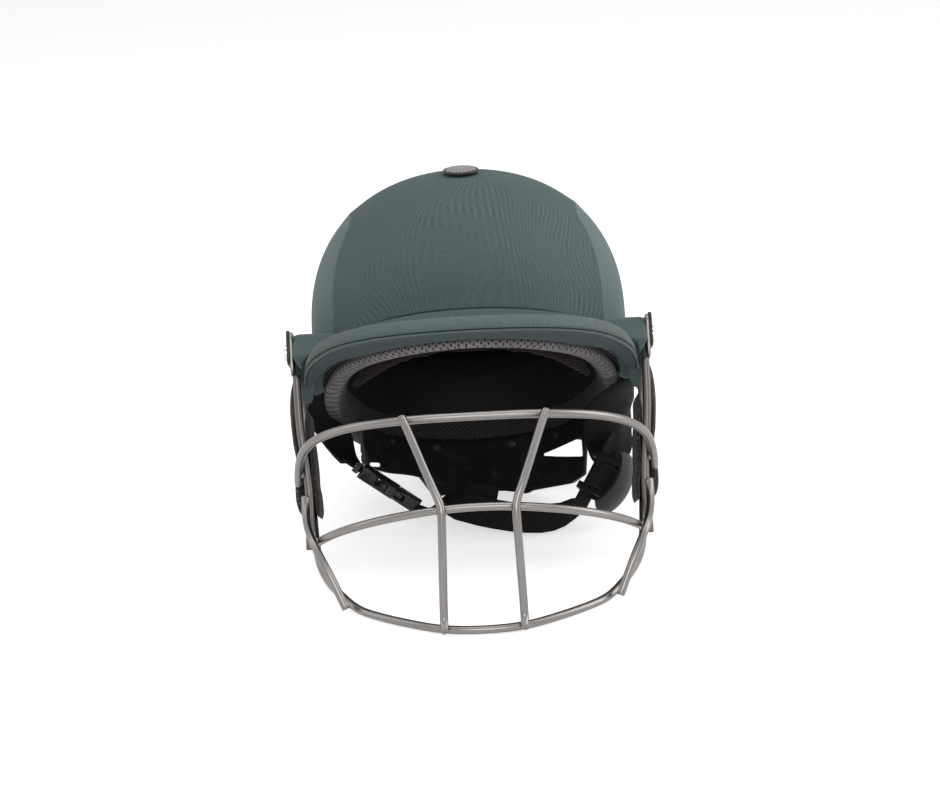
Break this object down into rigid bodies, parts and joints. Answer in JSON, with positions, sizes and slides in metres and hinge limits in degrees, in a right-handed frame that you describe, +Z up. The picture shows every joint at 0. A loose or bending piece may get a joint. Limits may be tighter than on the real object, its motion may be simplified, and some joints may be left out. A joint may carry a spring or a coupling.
{
  "type": "batting helmet with wire face guard",
  "caption": "Cloth-covered sports helmet with a peak, button, padded lining, chin strap and a bent-wire face guard hinged at the temples.",
  "frame": {"origin": "on the floor under the middle of the bounding box", "axes": "+Z up; +Y from the face guard to the back of the helmet; +X to the right as seen from the front; the helmet leans back as it rests on its guard and nape cradle"},
  "size_m": [0.2448, 0.3505, 0.2473],
  "materials": {
    "shell_plastic": "moulded",
    "dome_cloth": "fine twill",
    "peak_board": "moulded",
    "edge_cloth": "fine twill, stitched",
    "underside_cloth": "fine twill",
    "dark_plastic": "moulded, satin",
    "foam": "cloth-faced foam",
    "spacer_mesh": "spacer mesh",
    "pad_cloth": "fine rib",
    "satin": "satin",
    "webbing": "ribbed webbing",
    "cup_plastic": "gloss",
    "screw_steel": "polished",
    "brass": "turned",
    "bar_steel": "satin nickel",
    "side_foam": "speckled foam"
  },
  "bodies": {
    "helmet": {"outer_shell": "shell_plastic", "cover_center_panel": "dome_cloth", "cover_left_panel": "dome_cloth", "cover_right_panel": "dome_cloth", "temple_flare_left": "dome_cloth", "temple_flare_right": "dome_cloth", "peak_board": "peak_board", "peak_cover": "dome_cloth", "peak_edge_band": "edge_cloth", "peak_underside": "underside_cloth", "button_base": "dark_plastic", "button_cap": "dome_cloth", "foam_liner": "foam", "rim_band": "spacer_mesh", "forehead_pad": "pad_cloth", "crown_pad": "pad_cloth", "rear_pad": "pad_cloth", "liner_ribs": "pad_cloth", "ear_flap_left": "satin", "ear_flap_right": "satin", "nape_cradle": "dark_plastic", "cradle_rivets": "dark_plastic", "ear_strap_left": "webbing", "chin_strap": "webbing", "strap_tail": "webbing", "strap_keeper": "webbing", "buckle_socket": "dark_plastic", "buckle_plug": "dark_plastic", "pivot_screws": "screw_steel", "adjuster_screws": "screw_steel", "insert_nuts": "brass", "clamp_plate_left": "dark_plastic", "clamp_plate_right": "dark_plastic"},
    "grille": {"mount_plate_left": "bar_steel", "mount_plate_right": "bar_steel", "top_bar": "bar_steel", "mid_bar": "bar_steel", "bottom_bar": "bar_steel", "center_bar_left": "bar_steel", "center_bar_right": "bar_steel", "side_bar_left": "bar_steel", "side_bar_right": "bar_steel", "side_frame_left": "bar_steel", "side_frame_right": "bar_steel", "outer_pad_left": "side_foam", "outer_pad_right": "side_foam", "inner_strip_left": "side_foam", "inner_strip_right": "side_foam"},
    "prong_rear": {"prong_rear": "dark_plastic"},
    "prong_front": {"prong_front": "dark_plastic"},
    "chin_cup": {"chin_cup": "cup_plastic"}
  },
  "joints": [
    {"name": "grille_tilt", "type": "hinge", "parent": "helmet", "child": "grille", "pos_m": [0, -0.00229, 0.13699], "axis": [1, 0, 0], "range_deg": [-5, 5]},
    {"name": "prong_rear_press", "type": "hinge", "parent": "helmet", "child": "prong_rear", "pos_m": [-0.05132, 0.01359, 0.02397], "axis": [0.5818, 0.201, 0.7881], "range_deg": [0, 8], "stiffness_Nm_per_rad": 0.05},
    {"name": "prong_front_press", "type": "hinge", "parent": "helmet", "child": "prong_front", "pos_m": [-0.05227, -0.00209, 0.02868], "axis": [-0.5818, -0.201, -0.7881], "range_deg": [0, 8], "stiffness_Nm_per_rad": 0.05},
    {"name": "chin_cup_slide", "type": "slide", "parent": "helmet", "child": "chin_cup", "axis": [0.5073, 0.4053, 0.7605], "range_m": [-0.006, 0.006]}
  ],
  "couplings": [
    {"joint": "prong_front_press", "follows": "prong_rear_press", "ratio": 1}
  ]
}
